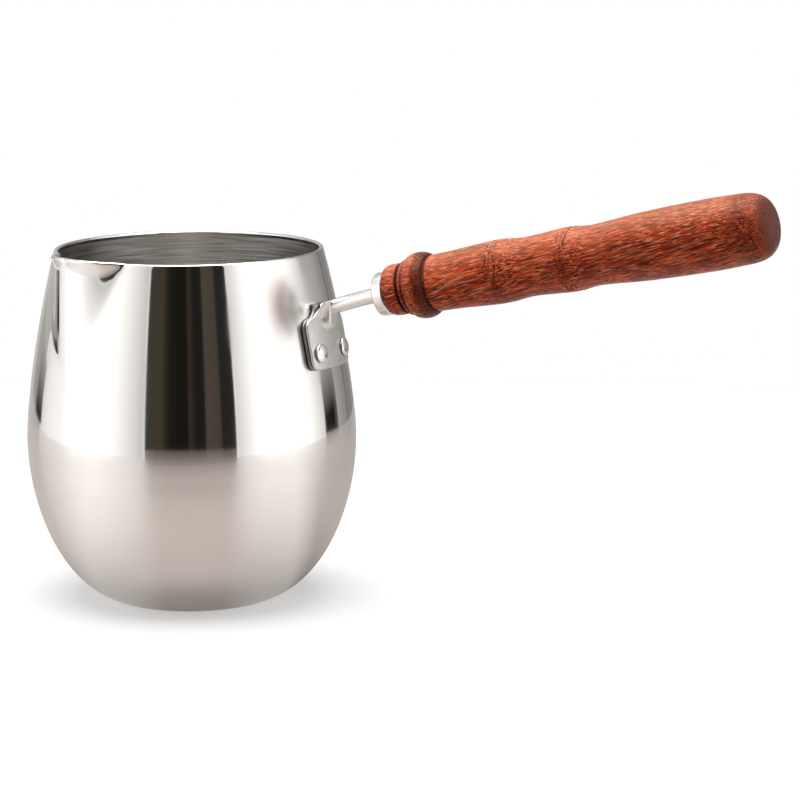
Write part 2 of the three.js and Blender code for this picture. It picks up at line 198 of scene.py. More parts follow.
# Stainless bar, drawn and turned: bright, with the soft blur of a fine emery finish
def brightSteel():
    material, tree = startMaterial("stainless_turned_bright")
    place = addNode(tree, "ShaderNodeTexCoord").outputs["Object"]
    emery = addNode(tree, "ShaderNodeTexNoise", {  # marks of 0.7 mm, coarse enough to show
        "Vector": place, "Scale": 1500, "Detail": 2}).outputs["Fac"]
    rough = addNode(tree, "ShaderNodeMapRange", {
        "Value": emery, "From Min": 0.35, "From Max": 0.65, "To Min": 0.18, "To Max": 0.26}).outputs[0]
    bump = addNode(tree, "ShaderNodeBump", {
        "Height": emery, "Strength": 0.02, "Distance": 0.02 * mm}).outputs[0]
    shader = addNode(tree, "ShaderNodeBsdfPrincipled", {
        "Base Color": linear("#e6e4e2"), "Metallic": 1, "Roughness": rough, "Normal": bump})
    addNode(tree, "ShaderNodeOutputMaterial", {"Surface": shader.outputs[0]})
    return material


# Brass, turned and left raw: hidden in the wood, dull yellow with an uneven gloss
def turnedBrass():
    material, tree = startMaterial("brass_turned")
    place = addNode(tree, "ShaderNodeTexCoord").outputs["Object"]
    uneven = addNode(tree, "ShaderNodeTexNoise", {"Vector": place, "Scale": 900}).outputs["Fac"]  # 1.1 mm
    rough = addNode(tree, "ShaderNodeMapRange", {"Value": uneven, "To Min": 0.25, "To Max": 0.45}).outputs[0]
    shader = addNode(tree, "ShaderNodeBsdfPrincipled", {
        "Base Color": linear("#b8924c"), "Metallic": 1, "Roughness": rough})
    addNode(tree, "ShaderNodeOutputMaterial", {"Surface": shader.outputs[0]})
    return material


potSizes = {
    "height": 96.7, "bellyRadius": 45.3, "bellyHeight": 44.7, "baseRadius": 23, "rimRadius": 36.6,
    "wall": 1.2, "baseSpread": 19.5, "baseSweep": 15.2, "bellySweepDown": 18.6, "bellySweepUp": 9,
    "neckLean": 14.3, "neckSweep": 22, "floorTop": 3, "rimFrom": 90, "rimTurn": 1, "rimEdge": 0.5,
    "innerBase": 0.5, "bellyRings": 48, "neckRings": 58, "wallSteps": 400, "columns": 288,
    "columnCrowding": 0.5,
}
spoutSizes = {
    "azimuth": -111, "height": 29, "halfAngle": 24, "reach": 5.2, "growth": 1.1, "taper": 0.9, "bowl": 0.5,
    "bowlRound": 0.35, "ridge": 2, "crease": 0.08, "flare": 0.25, "sideFlare": 3.4, "lipHeight": 1.6,
    "sideLip": 4, "lipBend": 1.05, "lift": 0.8, "polishedFrom": 90.5, "polishedWidth": 24, "rimPolish": 95.2,
}


def lowerSide(sizes):
    spread = math.radians(sizes["baseSpread"])
    sweep = sizes["baseSweep"]
    return [
        Vector((sizes["baseRadius"], 0)),
        Vector((sizes["baseRadius"] + sweep * math.cos(spread), sweep * math.sin(spread))),
        Vector((sizes["bellyRadius"], sizes["bellyHeight"] - sizes["bellySweepDown"])),
        Vector((sizes["bellyRadius"], sizes["bellyHeight"])),
    ]


def upperSide(sizes):
    lean = math.radians(sizes["neckLean"])
    sweep = sizes["neckSweep"]
    return [
        Vector((sizes["bellyRadius"], sizes["bellyHeight"])),
        Vector((sizes["bellyRadius"], sizes["bellyHeight"] + sizes["bellySweepUp"])),
        Vector((sizes["rimRadius"] + sweep * math.sin(lean), sizes["height"] - sweep * math.cos(lean))),
        Vector((sizes["rimRadius"], sizes["height"])),
    ]


def wallAt(height):  # radius of the wall, and how far its normal leans up
    line = interpolate_bezier(*upperSide(potSizes), potSizes["wallSteps"])
    for below, above in zip(line, line[1:]):
        if above.y >= height:
            break
    step = above - below
    share = (height - below.y) / step.y
    return below.x + step.x * share, math.atan2(-step.x, step.y)


def pressSpout(shape, pot, spout):
    azimuth = math.radians(spout["azimuth"])
    for vert in shape.verts:
        radius = math.hypot(vert.co.x, vert.co.y)
        offset = math.remainder(math.atan2(vert.co.y, vert.co.x) - azimuth, math.tau)
        offset -= pot["columnCrowding"] * math.sin(offset)  # more columns where the sheet bends most
        rise = min(1 - (pot["height"] - vert.co.z) / spout["height"], 1)
        if rise > 0:
            bowl = spout["bowl"] * rise ** spout["bowlRound"]  # rounds the lower end
            half = math.radians(spout["halfAngle"]) * ((1 - spout["bowl"]) * rise ** spout["taper"] + bowl)
            across = abs(offset) / half
            crease = spout["crease"]
            if across < 1 + crease:
                bend = max(0, across - 1 + crease)
                share = across - bend * bend / (4 * crease)  # eases into the wall at the crease
                side = half * min(1, share) ** spout["ridge"]
                tip = radius + spout["reach"] * rise ** spout["growth"]
                radius *= tip * math.sin(half) / (tip * math.sin(side) + radius * math.sin(half - side))
                lens = min(1, across)
                high = (spout["lipHeight"] + spout["sideLip"] * lens) * math.sqrt(1 - lens * lens) + closeBy
                lip = max(0, 1 - (pot["height"] - vert.co.z) / high)
                spread = spout["flare"] + spout["sideFlare"] * lens
                radius += spread * lip ** spout["lipBend"] * (1 - lens * lens)
                vert.co.z += spout["lift"] * (1 - lens) * lip
        vert.co.x = radius * math.cos(azimuth + offset)
        vert.co.y = radius * math.sin(azimuth + offset)


def buildPot():
    sizes = potSizes
    line = [Vector((0, 0)), Vector((sizes["baseRadius"] * sizes["innerBase"], 0))]
    line += interpolate_bezier(*lowerSide(sizes), sizes["bellyRings"])
    line += interpolate_bezier(*upperSide(sizes), sizes["neckRings"])[1:]
    shape = turn(line, sizes["columns"])
    pressSpout(shape, sizes, spoutSizes)
    shape.normal_update()
    if sum(face.normal.z for face in shape.faces if face.calc_center_median().z < closeBy) > 0:
        bmesh.ops.reverse_faces(shape, faces=shape.faces)  # the base looks down
    bmesh.ops.solidify(shape, geom=shape.faces[:], thickness=sizes["wall"])
    shape.normal_update()
    azimuth = math.radians(spoutSizes["azimuth"])
    for face in shape.faces:
        middle = face.calc_center_median()
        outward = Vector((middle.x, middle.y, 0)).normalized()
        facesIn = face.normal.dot(outward) < 0 if middle.z > sizes["floorTop"] else face.normal.z > 0
        offset = math.remainder(math.atan2(middle.y, middle.x) - azimuth, math.tau)
        atSpout = math.degrees(abs(offset)) < spoutSizes["polishedWidth"]
        polish = spoutSizes["polishedFrom" if atSpout else "rimPolish"]
        face.material_index = 1 if facesIn and middle.z < polish else 0
    rim = [edge for edge in shape.edges
           if edge.calc_face_angle(0) > sizes["rimTurn"] and edge.verts[0].co.z > sizes["rimFrom"]]
    bmesh.ops.bevel(shape, geom=rim, offset=sizes["rimEdge"], segments=4, profile=0.5, affect="EDGES",
                    material=-1)
    addPiece(shape, "potBody", "pot_body", [polishedSteel(), brushedSteel()])


plateSizes = {
    "width": 19.8, "top": 83.6, "height": 17.2, "hump": 3.7, "humpWidth": 7.4, "corner": 3, "slope": 0.4,
    "throat": 0.8, "roundSteps": 9, "seat": 0.3, "back": 0.7, "front": 0.9, "edge": 0.3, "grid": 0.32,
    "bossLength": 7.4, "bossFoot": 2.7, "bossTop": 3.1, "bossStand": 3.1, "bossLow": 0.4, "bossFlat": 9,
    "flankTop": 9.5, "flankLength": 4.2, "flankFoot": 0.8, "flankBend": 1.3,
}


def onWall(across, height, off):  # a place on the pot, off its wall
    radius, lean = wallAt(height)
    reach = radius + off * math.cos(lean)
    return Vector((math.sqrt(reach * reach - across * across), across, height + off * math.sin(lean)))


def plateOutline(sizes):
    half = sizes["width"] / 2
    flat = sizes["humpWidth"] / 2
    top = sizes["top"]
    bottom = top - sizes["height"]
    shoulder = top - sizes["hump"]
    corner = sizes["corner"]
    throat = sizes["throat"]
    bends = [  # start, pull and end of each round on the right-hand side, from the bottom up
        ((half - corner, bottom), (half, bottom), (half, bottom + corner)),
        ((half, shoulder - corner), (half, shoulder), (half - corner, shoulder + sizes["slope"])),
        ((half - corner, shoulder + sizes["slope"]), (flat + throat, shoulder + throat), (flat, top)),
    ]
    side = []
    for start, pull, end in (tuple(map(Vector, bend)) for bend in bends):
        pulls = start.lerp(pull, 2 / 3), end.lerp(pull, 2 / 3)
        side += interpolate_bezier(start, *pulls, end, sizes["roundSteps"])
    return side + [Vector((-point.x, point.y)) for point in reversed(side)]


def bossAt(across, height):  # how far the pressed cradle stands off the plate
    sizes = plateSizes
    up = (height - sizes["top"] + sizes["bossLength"]) / sizes["bossLength"]
    foot = sizes["bossFoot"]
    half = foot + (sizes["bossTop"] - foot) * max(up, 0) ** 2
    down = max(0, foot - up * sizes["bossLength"]) if up < foot / sizes["bossLength"] else 0
    away = math.hypot(across / half, down / foot)
    stand = sizes["bossStand"] * (sizes["bossLow"] + (1 - sizes["bossLow"]) * max(up, 0))
    boss = stand * (1 - away ** sizes["bossFlat"]) ** 0.5 if away < 1 else 0
    lift = max(0, 1 - (sizes["top"] - height) / sizes["flankLength"])  # the sheet sweeps up to the cradle
    spread = half + (sizes["flankTop"] - half) * lift
    flank = max(0, (spread - abs(across)) / (spread - half * sizes["flankFoot"])) if lift else 0
    return max(boss, sizes["bossStand"] * lift * min(1, flank) ** sizes["flankBend"])


def buildPlate(name, node, start, thickness, pressed, material):
    sizes = plateSizes
    shape = bmesh.new()
    shape.faces.new([shape.verts.new((start, p.x, p.y)) for p in plateOutline(sizes)])
    bmesh.ops.remove_doubles(shape, verts=shape.verts, dist=closeBy)
    grown = bmesh.ops.extrude_face_region(shape, geom=shape.faces[:], use_keep_orig=True)["geom"]
    lifted = [v for v in grown if isinstance(v, bmesh.types.BMVert)]
    bmesh.ops.translate(shape, vec=(thickness, 0, 0), verts=lifted)
    bmesh.ops.recalc_face_normals(shape, faces=shape.faces)
    borders = [edge for edge in shape.edges if abs(edge.verts[0].co.x - edge.verts[1].co.x) < closeBy]
    bmesh.ops.bevel(shape, geom=borders, offset=sizes["edge"], segments=3, profile=0.5, affect="EDGES",
                    material=-1)
    for normal, low, high in ((Vector((0, 1, 0)), -sizes["width"] / 2, sizes["width"] / 2),
                              (Vector((0, 0, 1)), sizes["top"] - sizes["height"], sizes["top"])):
        cuts = round((high - low) / sizes["grid"])
        for i in range(1, cuts):  # fine enough to bend with the wall and the cradle
            bmesh.ops.bisect_plane(shape, geom=shape.verts[:] + shape.edges[:] + shape.faces[:],
                                   dist=closeBy / 2, plane_co=normal * (low + (high - low) * i / cuts),
                                   plane_no=normal)
    for vert in shape.verts:
        off, across, height = vert.co
        if pressed:
            off += bossAt(across, height)
        vert.co = onWall(across, height, off)
    addPiece(shape, name, node, [material], sharp=60)


def buildBracket():
    sizes = plateSizes
    frontStart = sizes["seat"] + sizes["back"] + sizes["seat"]
    shadedSatin = satinSteel("stainless_satin_painted_shade", "#85807b", "#9b9690")  # painted shade: a darker copy of the satin steel, so the back plate's edge reads dark in the shaded gap
    satin = satinSteel("stainless_tumbled_satin", "#cbc9c6", "#dddbd9")
    buildPlate("bracketBackPlate", "bracket_back_plate", sizes["seat"], sizes["back"], False, shadedSatin)
    buildPlate("bracketFrontPlate", "bracket_front_plate", frontStart, sizes["front"], True, satin)


rivetSizes = {
    "across": 6.45, "height": 70.7, "shank": 1.5, "head": 2.5, "dome": 0.8, "under": 2.5, "edge": 0.15,
    "domeFoot": 0.2, "domeSteps": 10, "tail": 2.3, "tailDome": 0.9, "tailSteps": 6, "inside": -1.5,
    "columns": 48,
}


def buildRivets():
    sizes = rivetSizes
    head, under, edge, foot = (sizes[key] for key in ("head", "under", "edge", "domeFoot"))
    line = [(0, sizes["inside"] - sizes["tailDome"])]
    for i in range(1, sizes["tailSteps"] + 1):
        angle = math.radians(90 / sizes["tailSteps"] * i)
        line += [(sizes["tail"] * math.sin(angle), sizes["inside"] - sizes["tailDome"] * math.cos(angle))]
    line += [(sizes["shank"], sizes["inside"]), (sizes["shank"], under)]
    line += [(head - edge, under), (head, under + edge)]
    for i in range(sizes["domeSteps"]):
        angle = math.radians(90 / sizes["domeSteps"] * i)
        line += [(head * math.cos(angle), under + foot + (sizes["dome"] - foot) * math.sin(angle))]
    line += [(0, under + sizes["dome"])]
    radius, lean = wallAt(sizes["height"])
    for name, node, side in (("rivetLeft", "rivet_left", -1), ("rivetRight", "rivet_right", 1)):
        azimuth = side * math.asin(sizes["across"] / (radius + under))
        shape = turn(line, sizes["columns"])
        place = Vector((radius * math.cos(azimuth), radius * math.sin(azimuth), sizes["height"]))
        tilt = Matrix.Rotation(azimuth, 4, "Z") @ Matrix.Rotation(math.pi / 2 - lean, 4, "Y")
        bmesh.ops.transform(shape, matrix=Matrix.Translation(place) @ tilt, verts=shape.verts)
        addPiece(shape, name, node, [brightSteel()])


handleSizes = {"gap": 18.6, "lift": 5.45, "rise": 12.2, "rootHeight": 81.6, "rootOff": 1.6}


def handleFrame():  # Z along the handle, from the face of the ferrule
    reach = wallAt(handleSizes["rootHeight"])[0] + handleSizes["gap"]
    start = Vector((reach, 0, handleSizes["rootHeight"] + handleSizes["lift"]))
    slope = math.pi / 2 - math.radians(handleSizes["rise"])
    return Matrix.Translation(start) @ Matrix.Rotation(slope, 4, "Y")


rodSizes = {
    "radius": 2, "bend": 5.5, "bendEnd": 1, "bendSteps": 24, "depth": 30, "depthSteps": 6, "sides": 40,
}


def buildRod():
    sizes = rodSizes
    along = handleFrame()
    root = onWall(0, handleSizes["rootHeight"], handleSizes["rootOff"])
    corner = along @ Vector((0, 0, -sizes["bend"]))
    bendEnd = along @ Vector((0, 0, -sizes["bendEnd"]))
    end = along @ Vector((0, 0, sizes["depth"]))
    pulls = root.lerp(corner, 2 / 3), bendEnd.lerp(corner, 2 / 3)
    path = interpolate_bezier(root, *pulls, bendEnd, sizes["bendSteps"])
    path += [bendEnd.lerp(end, (i + 1) / sizes["depthSteps"]) for i in range(sizes["depthSteps"])]
    shape = bmesh.new()
    ahead = (path[1] - path[0]).to_track_quat("Z", "Y").to_matrix().to_4x4()
    place = Matrix.Translation(path[0]) @ ahead
    bmesh.ops.create_circle(shape, radius=sizes["radius"], segments=sizes["sides"], cap_ends=True,
                            matrix=place)
    ring = shape.edges[:]
    for i in range(1, len(path)):
        ahead = (path[min(i + 1, len(path) - 1)] - path[i - 1]).to_track_quat("Z", "Y").to_matrix().to_4x4()
        nextPlace = Matrix.Translation(path[i]) @ ahead
        grown = bmesh.ops.extrude_edge_only(shape, edges=ring)["geom"]
        ring = [g for g in grown if isinstance(g, bmesh.types.BMEdge)]
        verts = [g for g in grown if isinstance(g, bmesh.types.BMVert)]
        bmesh.ops.transform(shape, matrix=nextPlace @ place.inverted(), verts=verts)
        place = nextPlace
    bmesh.ops.contextual_create(shape, geom=ring)
    bmesh.ops.recalc_face_normals(shape, faces=shape.faces)
    addPiece(shape, "handleRod", "handle_rod", [brightSteel()])


ferruleSizes = {
    "radius": 5.8, "thickness": 3, "edge": 0.5, "edgeSteps": 6, "chamfer": 0.2, "collar": 4.1, "spigot": 3.2,
    "bore": 2.3, "columns": 96,
}


def buildFerrule():
    sizes = ferruleSizes
    radius, edge, chamfer, bore = (sizes[key] for key in ("radius", "edge", "chamfer", "bore"))
    back = sizes["thickness"]
    end = back + sizes["spigot"]
    line = [(bore, chamfer), (bore + chamfer, 0), (radius - edge, 0)]
    for i in range(1, sizes["edgeSteps"] + 1):
        angle = math.radians(90 / sizes["edgeSteps"] * i)
        line += [(radius - edge + edge * math.sin(angle), edge - edge * math.cos(angle))]
    line += [(radius, back - chamfer), (radius - chamfer, back), (sizes["collar"], back)]
    line += [(sizes["collar"], end), (bore, end), (bore, chamfer)]
    shape = turn(line, sizes["columns"])
    bmesh.ops.transform(shape, matrix=handleFrame(), verts=shape.verts)
    addPiece(shape, "ferruleDisc", "ferrule", [brightSteel()], sharp=30)


woodSizes = {
    "start": 3.3, "length": 109.1, "front": 6.45, "edge": 0.3, "collarLength": 4.5, "collarRadius": 6.9,
    "collarCurve": (0.2, 0.6), "collarDip": 0.1, "grooveWidth": 0.6, "grooveRadius": 6.2, "cutRunOut": 0.15,
    "ringLength": 1.6, "ringRadius": 7.3, "ringFullness": 1.06, "notchRadius": 6.9, "beadLength": 6.2,
    "beadRadius": 8.6, "beadFront": 1.11, "beadBack": 1.07, "neckWidth": 0.8, "neckRadius": 7.25,
    "gripStart": 7.5, "domeLength": 9, "domeRadius": 8.95, "domeFullness": 0.76,
    "swellings": [  # share of the length, and radius there
        (0.185, 7.7), (0.302, 8.35), (0.379, 7.75), (0.489, 8.4), (0.553, 7.85), (0.681, 8.75),
        (0.836, 9.15)],
    "bore": 4.4, "boreDepth": 30.7, "boreTip": 1.5, "boreDrop": 0.5, "boreMargin": 0.5, "columns": 128,
    "collarSteps": 10, "ringSteps": 12, "beadSteps": 24, "gripSteps": 64, "domeSteps": 20,
    "shadeAndDarkEnd": [  # distance from the front and how much darker the wood is painted there: painted shade against the ferrule, in the grooves and behind the bead, and a darker rear end
        (0.3, "#8a8280"), (0.8, "#ffffff"), (4, "#ffffff"), (4.6, "#6d605c"), (5.3, "#a59c99"),
        (6.2, "#e0dad8"), (6.8, "#b5aca9"), (7.6, "#ffffff"), (9.8, "#ffffff"), (10.6, "#a89791"),
        (12.6, "#8a7b76"), (13.6, "#94847f"), (14, "#ffffff"), (98, "#ffffff"), (101.5, "#c0b2ad"),
        (104, "#c9bab4"), (109, "#c4b5af")],
    "ringMarks": (33.1, 53.5), "markSpread": 1.15, "markWidth": 0.28, "markDepth": 0.3, "markWave": 0.8,
    "markPatch": 2.2, "waveShift": 7, "pressPatch": 1.6, "pressShift": 5, "pressMean": 0.45,
    "pressSpread": 1.1,
}


# Padauk, turned, oiled and waxed: orange-red with dark open pores, a soft sheen, pale strokes painted on the
# ridges as glints, a top painted pale as sheen, painted shade against the ferrule, in the turned grooves and
# behind the bead, a darker rear end, dark ring marks, end grain that took up more oil and went dark, and
# faces toward the pot painted grey as sheen
def oiledPadauk():
    sizes = woodSizes
    material, tree = startMaterial("padauk_turned_oiled")
    place = addNode(tree, "ShaderNodeTexCoord").outputs["Object"]
    rise = math.radians(handleSizes["rise"])
    front = (handleFrame() @ Vector((0, 0, sizes["start"]))) * mm
    fromFront = -(front.x * math.cos(rise) + front.z * math.sin(rise))
    along = addNode(tree, "ShaderNodeMapping", {
        "Vector": place, "Rotation": (0, rise, 0), "Location": (fromFront, 0, 0)}).outputs[0]
    slanted = addNode(tree, "ShaderNodeMapping", {"Vector": along, "Rotation": (0, 0.1, 0.06)}).outputs[0]
    bandSize = addNode(tree, "ShaderNodeMapping", {  # 40 by 5 mm
        "Vector": slanted, "Scale": (25, 190, 190)}).outputs[0]
    bands = addNode(tree, "ShaderNodeTexNoise", {
        "Vector": bandSize, "Scale": 1, "Detail": 4, "Distortion": 0.6}).outputs["Fac"]
    fibreSize = addNode(tree, "ShaderNodeMapping", {  # 8 by 0.5 mm
        "Vector": slanted, "Scale": (130, 1900, 1900)}).outputs[0]
    fibres = addNode(tree, "ShaderNodeTexNoise", {
        "Vector": fibreSize, "Scale": 1, "Detail": 3}).outputs["Fac"]
    poreSize = addNode(tree, "ShaderNodeMapping", {  # 6 by 0.4 mm
        "Vector": slanted, "Scale": (160, 2500, 2500)}).outputs[0]
    longPores = addNode(tree, "ShaderNodeTexNoise", {
        "Vector": poreSize, "Scale": 1, "Detail": 3, "Distortion": 0.4}).outputs["Fac"]
    tickSize = addNode(tree, "ShaderNodeMapping", {  # 2.4 by 0.3 mm
        "Vector": slanted, "Scale": (420, 3400, 3400)}).outputs[0]
    shortPores = addNode(tree, "ShaderNodeTexNoise", {
        "Vector": tickSize, "Scale": 1, "Detail": 2}).outputs["Fac"]
    streaks = addNode(tree, "ShaderNodeMapRange", {
        "Value": longPores, "From Min": 0.56, "From Max": 0.63}).outputs[0]
    ticks = addNode(tree, "ShaderNodeMapRange", {
        "Value": shortPores, "From Min": 0.57, "From Max": 0.64}).outputs[0]
    pores = addNode(tree, "ShaderNodeMath", {0: streaks, 1: ticks}, operation="MAXIMUM").outputs[0]
    tone = addNode(tree, "ShaderNodeMix", {0: 0.5, 2: bands, 3: fibres}).outputs[0]
    ridgeSize = addNode(tree, "ShaderNodeMapping", {  # 4 by 0.2 mm
        "Vector": slanted, "Scale": (230, 4400, 4400)}).outputs[0]
    ridges = addNode(tree, "ShaderNodeTexNoise", {
        "Vector": ridgeSize, "Scale": 1, "Detail": 2}).outputs["Fac"]
    # painted highlight: pale strokes along the grain ridges stand in for glints of light
    paintedGlints = addNode(tree, "ShaderNodeMapRange", {
        "Value": ridges, "From Min": 0.5, "From Max": 0.68, "To Max": 0.75}).outputs[0]
    distance = addNode(tree, "ShaderNodeSeparateXYZ", {"Vector": along}).outputs["X"]
    share = addNode(tree, "ShaderNodeMapRange", {
        "Value": distance, "From Max": sizes["length"] * mm}).outputs[0]
    # painted shade against the ferrule, in the grooves and behind the bead, and darker towards the rear end
    grooveShadeAndDarkEnd = setRamp(addNode(tree, "ShaderNodeValToRGB", {"Fac": share}), [
        (spot / sizes["length"], tint) for spot, tint in sizes["shadeAndDarkEnd"]]).outputs[0]
    cut = addNode(tree, "ShaderNodeAttribute", attribute_name="cutDepth").outputs["Fac"]
    cuts = addNode(tree, "ShaderNodeMath", {0: cut, 1: 0.8}, operation="MULTIPLY").outputs[0]
    normal = addNode(tree, "ShaderNodeNewGeometry").outputs["Normal"]
    facing = addNode(tree, "ShaderNodeVectorMath", {
        0: normal, 1: (math.cos(rise), 0, math.sin(rise))}, operation="DOT_PRODUCT").outputs["Value"]
    upward = addNode(tree, "ShaderNodeSeparateXYZ", {"Vector": normal}).outputs["Z"]
    paintedTopSheen = addNode(tree, "ShaderNodeMapRange", {  # painted sheen: the upward side is painted paler, where the top light falls
        "Value": upward, "From Min": 0.3, "From Max": 0.85, "To Max": 0.28}).outputs[0]
    endGrain = addNode(tree, "ShaderNodeMapRange", {
        "Value": facing, "From Min": 0.45, "From Max": 0.9, "To Max": 0.85}).outputs[0]
    # painted sheen: faces turned toward the pot are painted grey, standing in for the sheen they show in its
    # reflection
    paintedFrontSheen = addNode(tree, "ShaderNodeMapRange", {
        "Value": facing, "From Min": -0.65, "From Max": -0.92, "To Max": 0.95}).outputs[0]
    colour = setRamp(addNode(tree, "ShaderNodeValToRGB", {"Fac": tone}), [
        (0.34, "#6c1000"), (0.45, "#982200"), (0.55, "#bc3503"), (0.65, "#e06a2a")]).outputs[0]
    for layer, tint, blend in (
            (paintedGlints, linear("#ee9d72"), "MIX"), (pores, linear("#420900"), "MIX"),
            (paintedTopSheen, linear("#e9a27d"), "MIX"), (1, grooveShadeAndDarkEnd, "MULTIPLY"), (endGrain, linear("#4c2019"), "MIX"),
            (paintedFrontSheen, linear("#5a504d"), "MIX"), (cuts, linear("#2f0d06"), "MIX")):
        colour = addNode(tree, "ShaderNodeMix", {
            0: layer, 6: colour, 7: tint}, data_type="RGBA", blend_type=blend).outputs[2]
    rough = addNode(tree, "ShaderNodeMapRange", {
        "Value": fibres, "From Min": 0.3, "From Max": 0.7, "To Min": 0.17, "To Max": 0.29}).outputs[0]
    relief = addNode(tree, "ShaderNodeMath", {
        0: pores, 1: -1, 2: fibres}, operation="MULTIPLY_ADD").outputs[0]
    bump = addNode(tree, "ShaderNodeBump", {
        "Height": relief, "Strength": 0.7, "Distance": 0.14 * mm}).outputs[0]
    shader = addNode(tree, "ShaderNodeBsdfPrincipled", {
        "Base Color": colour, "Roughness": rough, "IOR": 1.5, "Specular IOR Level": 0.22,
        "Specular Tint": linear("#ffd2a6"), "Normal": bump})
    addNode(tree, "ShaderNodeOutputMaterial", {"Surface": shader.outputs[0]})
    return material


def woodOutline(sizes):
    ringStart = sizes["collarLength"] + sizes["grooveWidth"]
    beadStart = ringStart + sizes["ringLength"]
    beadEnd = beadStart + sizes["beadLength"]
    neckEnd = beadEnd + sizes["neckWidth"]
    length = sizes["length"]
    domeStart = length - sizes["domeLength"]
    fullness = sizes["domeFullness"]
    bore, depth = sizes["bore"], sizes["boreDepth"]
    groove, notch, neck = (sizes[key] for key in ("grooveRadius", "notchRadius", "neckRadius"))
    collar, bead, dome = (sizes[key] for key in ("collarRadius", "beadRadius", "domeRadius"))
    ring = sizes["ringRadius"] * sizes["ringFullness"]
    swells, settles = (share * sizes["collarLength"] for share in sizes["collarCurve"])
    swellings = [(radius, share * length) for share, radius in sizes["swellings"]]
    bored = [(0, depth), (bore, depth - sizes["boreTip"]), (bore, 0), (sizes["front"] - sizes["edge"], 0)]
    line = [Vector(point) for point in bored]
    line += bendLine((sizes["front"], sizes["edge"]), (collar, swells), (collar, settles),
                     (collar - sizes["collarDip"], sizes["collarLength"]), sizes["collarSteps"])
    line += [Vector((groove, sizes["collarLength"] + sizes["cutRunOut"]))]
    line += bendLine((groove, ringStart), (ring, ringStart), (ring, beadStart), (notch, beadStart),
                     sizes["ringSteps"])
    line += bendLine((notch, beadStart), (bead * sizes["beadFront"], beadStart),
                     (bead * sizes["beadBack"], beadEnd), (neck, beadEnd), sizes["beadSteps"])
    line += [Vector((neck, neckEnd - sizes["cutRunOut"]))]
    line += smoothLine([(sizes["gripStart"], neckEnd)] + swellings + [(dome, domeStart)], sizes["gripSteps"])
    line += bendLine((dome, domeStart), (dome, domeStart + sizes["domeLength"] * fullness),
                     (dome * fullness, length), (0, length), sizes["domeSteps"])[1:]
    return line


def scribeRings(shape, sizes):  # wavy, broken cut lines around two of the swellings
    cutDepth = shape.verts.layers.float.new("cutDepth")
    for vert in shape.verts:
        radius = math.hypot(vert.co.x, vert.co.y)
        if radius < sizes["bore"] + sizes["boreMargin"]:
            continue
        around = Vector((vert.co.x, vert.co.y, 0)) / radius * sizes["markPatch"]
        depth = 0
        for mark in sizes["ringMarks"]:
            for side in (-1, 0, 1):
                waveSpot = around + Vector((0, 0, mark + sizes["waveShift"] * side))
                pressSpot = around * sizes["pressPatch"] + Vector((0, 0, mark - sizes["pressShift"] * side))
                wave = sizes["markWave"] * noise.noise(waveSpot)
                press = sizes["pressMean"] + sizes["pressSpread"] * noise.noise(pressSpot)  # uneven hand
                away = (vert.co.z - mark - side * sizes["markSpread"] - wave) / sizes["markWidth"]
                depth += sizes["markDepth"] * max(0, press) * math.exp(-away * away)
        vert[cutDepth] = min(1, depth / sizes["markDepth"])
        vert.co.x *= 1 - depth / radius
        vert.co.y *= 1 - depth / radius


def buildWood():
    sizes = woodSizes
    shape = turn(woodOutline(sizes), sizes["columns"])
    scribeRings(shape, sizes)
    bored = [vert for vert in shape.verts
             if math.hypot(vert.co.x, vert.co.y) < sizes["bore"] + sizes["boreMargin"]
             and vert.co.z < sizes["boreDepth"] + sizes["boreMargin"]]
    bmesh.ops.translate(shape, vec=(sizes["boreDrop"], 0, 0), verts=bored)
    bmesh.ops.translate(shape, vec=(-sizes["boreDrop"], 0, sizes["start"]), verts=shape.verts)
    bmesh.ops.transform(shape, matrix=handleFrame(), verts=shape.verts)
    addPiece(shape, "woodHandle", "wood_handle", [oiledPadauk()], sharp=50)


buildPot()
buildBracket()
buildRivets()
buildRod()
buildFerrule()
buildWood()
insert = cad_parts["threaded_insert"]
insert.data.materials.clear()
insert.data.materials.append(turnedBrass())
print("pieces done")


view = {
    "place": (414.4, -702.5, 202.8), "looks": (-0.4389, 0.8803, -0.1802), "roll": -0.3635, "lens": 135,
    "sensor": 36, "clipStart": 10,
}
studio = {
    "floorRadius": 620, "floorForward": 280, "floorDrop": 0.05, "floorShade": "#bcbbba", "floorWhite": 0.4,
    "tableShade": "#8c847f", "glowNear": 100, "glowFar": 300, "underFrom": 35, "underTo": 85,
    "underShade": 0.65, "ambient": 0.1, "low": -90, "hazeShade": "#b4b2af", "topHeight": 1100,
    "topRadius": 620, "topStrength": 5.4,
    "tableNear": [  # light on the table close to the pot, from behind over the left side and the front
        (0.1, "#7d7875"), (0.2, "#95918e"), (0.26, "#bdbab7"), (0.31, "#d9d7d5"), (0.39, "#c9c5c2"),
        (0.45, "#aaa29c"), (0.55, "#a8a09a"), (0.6, "#c4c0bd"), (0.68, "#d0cecc"), (0.71, "#b0adaa"),
        (0.74, "#827e7b"), (0.9, "#7d7875")],
    "tableFar": [  # the same further away
        (0.1, "#8a8683"), (0.2, "#a09c99"), (0.26, "#c4c0bd"), (0.31, "#d4d2d0"), (0.405, "#c4c0bd"),
        (0.43, "#6a625d"), (0.57, "#6a625d"), (0.595, "#bdb9b6"), (0.69, "#cfcdcb"), (0.72, "#b0adaa"),
        (0.76, "#8c8885")],
}
